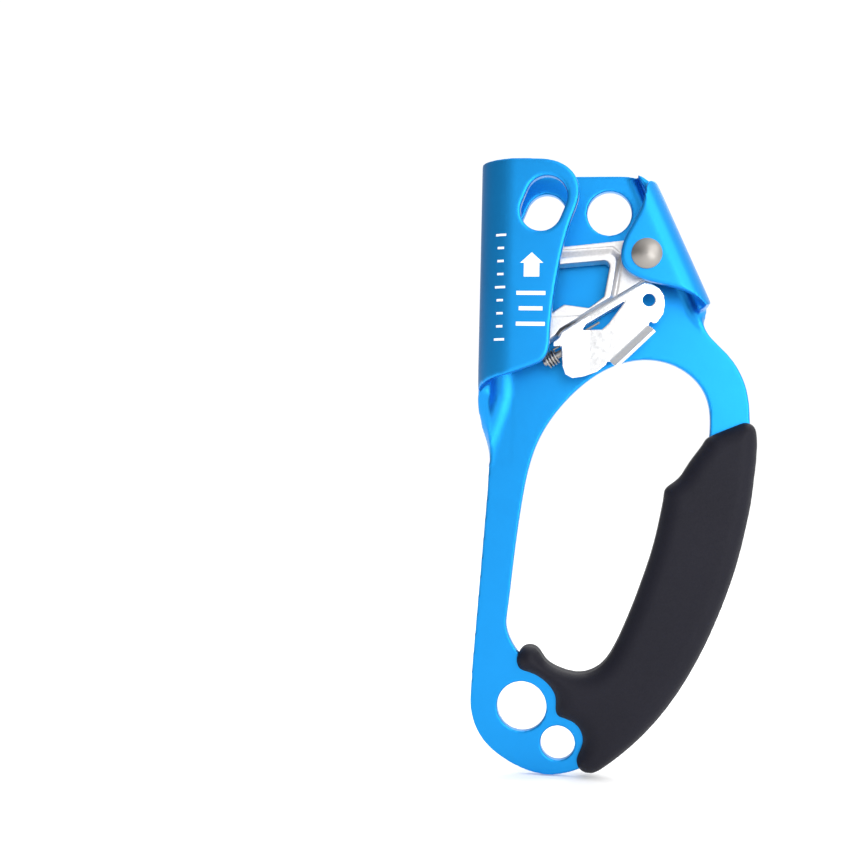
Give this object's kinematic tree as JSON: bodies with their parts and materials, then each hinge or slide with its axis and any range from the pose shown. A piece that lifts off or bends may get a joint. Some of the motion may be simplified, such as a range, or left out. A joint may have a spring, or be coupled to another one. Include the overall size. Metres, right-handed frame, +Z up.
{
  "type": "hand ascender",
  "caption": "Handled rope clamp that slides up a climbing rope and locks under load: sprung toothed cam, safety catch, bent aluminium frame and rubber grip.",
  "frame": {"origin": "centre of the main attachment hole, on the mid-plane of the frame's back plate", "axes": "+Z up along the rope channel, +X to the right seen from the front, front faces -Y"},
  "size_m": [0.0872, 0.0299, 0.1905],
  "materials": {
    "anodised_aluminium": "satin blue anodised aluminium, edges tumbled round",
    "grip_rubber": "charcoal moulded rubber, fine matte grain",
    "cast_steel": "chrome-plated cast steel, lightly grained web and smooth rim",
    "polished_steel": "bright polished stamped steel",
    "rivet_steel": "satin nickel-grey steel",
    "bush_steel": "plain turned steel",
    "spring_steel": "bright spring wire"
  },
  "bodies": {
    "frame_body": {"frame": "anodised_aluminium", "grip": "grip_rubber", "cam_axle": "rivet_steel", "axle_bush": "bush_steel", "cam_washer_front": "bush_steel", "cam_washer_back": "bush_steel", "cam_spring": "spring_steel"},
    "cam_body": {"cam": "cast_steel"},
    "catch_body": {"catch": "polished_steel", "catch_pin": "rivet_steel", "catch_spring": "spring_steel"}
  },
  "joints": [
    {"name": "cam_pivot", "type": "hinge", "parent": "frame_body", "child": "cam_body", "pos_m": [0.036, -0.00875, 0.1403], "axis": [0, -1, 0], "range_deg": [0, 22], "stiffness_Nm_per_rad": 0.05, "springref_deg": -57.3},
    {"name": "catch_tilt", "type": "hinge", "parent": "cam_body", "child": "catch_body", "pos_m": [0.0075, -0.0115, 0.1087], "axis": [-0.8508, 0, -0.5255], "range_deg": [0, 17], "stiffness_Nm_per_rad": 0.01, "springref_deg": -34.38}
  ]
}
